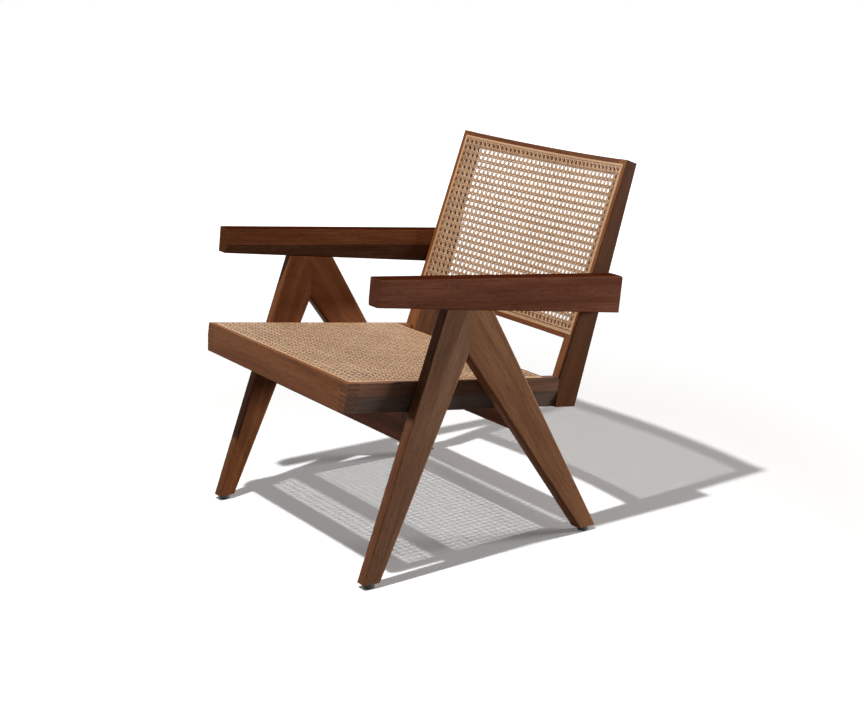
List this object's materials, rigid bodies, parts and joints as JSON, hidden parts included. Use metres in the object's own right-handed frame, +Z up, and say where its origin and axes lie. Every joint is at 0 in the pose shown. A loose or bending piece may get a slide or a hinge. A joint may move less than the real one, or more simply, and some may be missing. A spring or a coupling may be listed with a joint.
{
  "type": "easy chair",
  "caption": "Low wooden easy chair with inverted-V side legs, tapered arms, a sloping caned seat and a bowed, reclined caned back.",
  "frame": {"origin": "on the floor, at the middle of the chair's box in width and depth", "axes": "+Z up, -Y towards the front of the chair, +X to the right as seen from the front"},
  "size_m": [0.603, 0.6966, 0.7385],
  "materials": {
    "wood": "satin oiled hardwood",
    "cane": "woven natural cane",
    "reed": "satin reed",
    "glide": "matt black",
    "screw": "plain steel"
  },
  "bodies": {
    "root": {"right_front_leg": "wood", "right_rear_leg": "wood", "right_arm": "wood", "right_stile": "wood", "right_seat_rail": "wood", "right_front_glide": "glide", "right_rear_glide": "glide", "left_front_leg": "wood", "left_rear_leg": "wood", "left_arm": "wood", "left_stile": "wood", "left_seat_rail": "wood", "left_front_glide": "glide", "left_rear_glide": "glide", "front_cross_rail": "wood", "rear_cross_rail": "wood", "seat_front_rail": "wood", "seat_rear_rail": "wood", "back_bottom_rail": "wood", "back_top_rail": "wood", "seat_cane": "cane", "seat_spline_right": "reed", "seat_spline_left": "reed", "seat_spline_near": "reed", "seat_spline_far": "reed", "back_cane": "cane", "back_spline_right": "reed", "back_spline_left": "reed", "back_spline_near": "reed", "back_spline_far": "reed", "seat_screws": "screw", "arm_screws": "screw"}
  },
  "joints": []
}
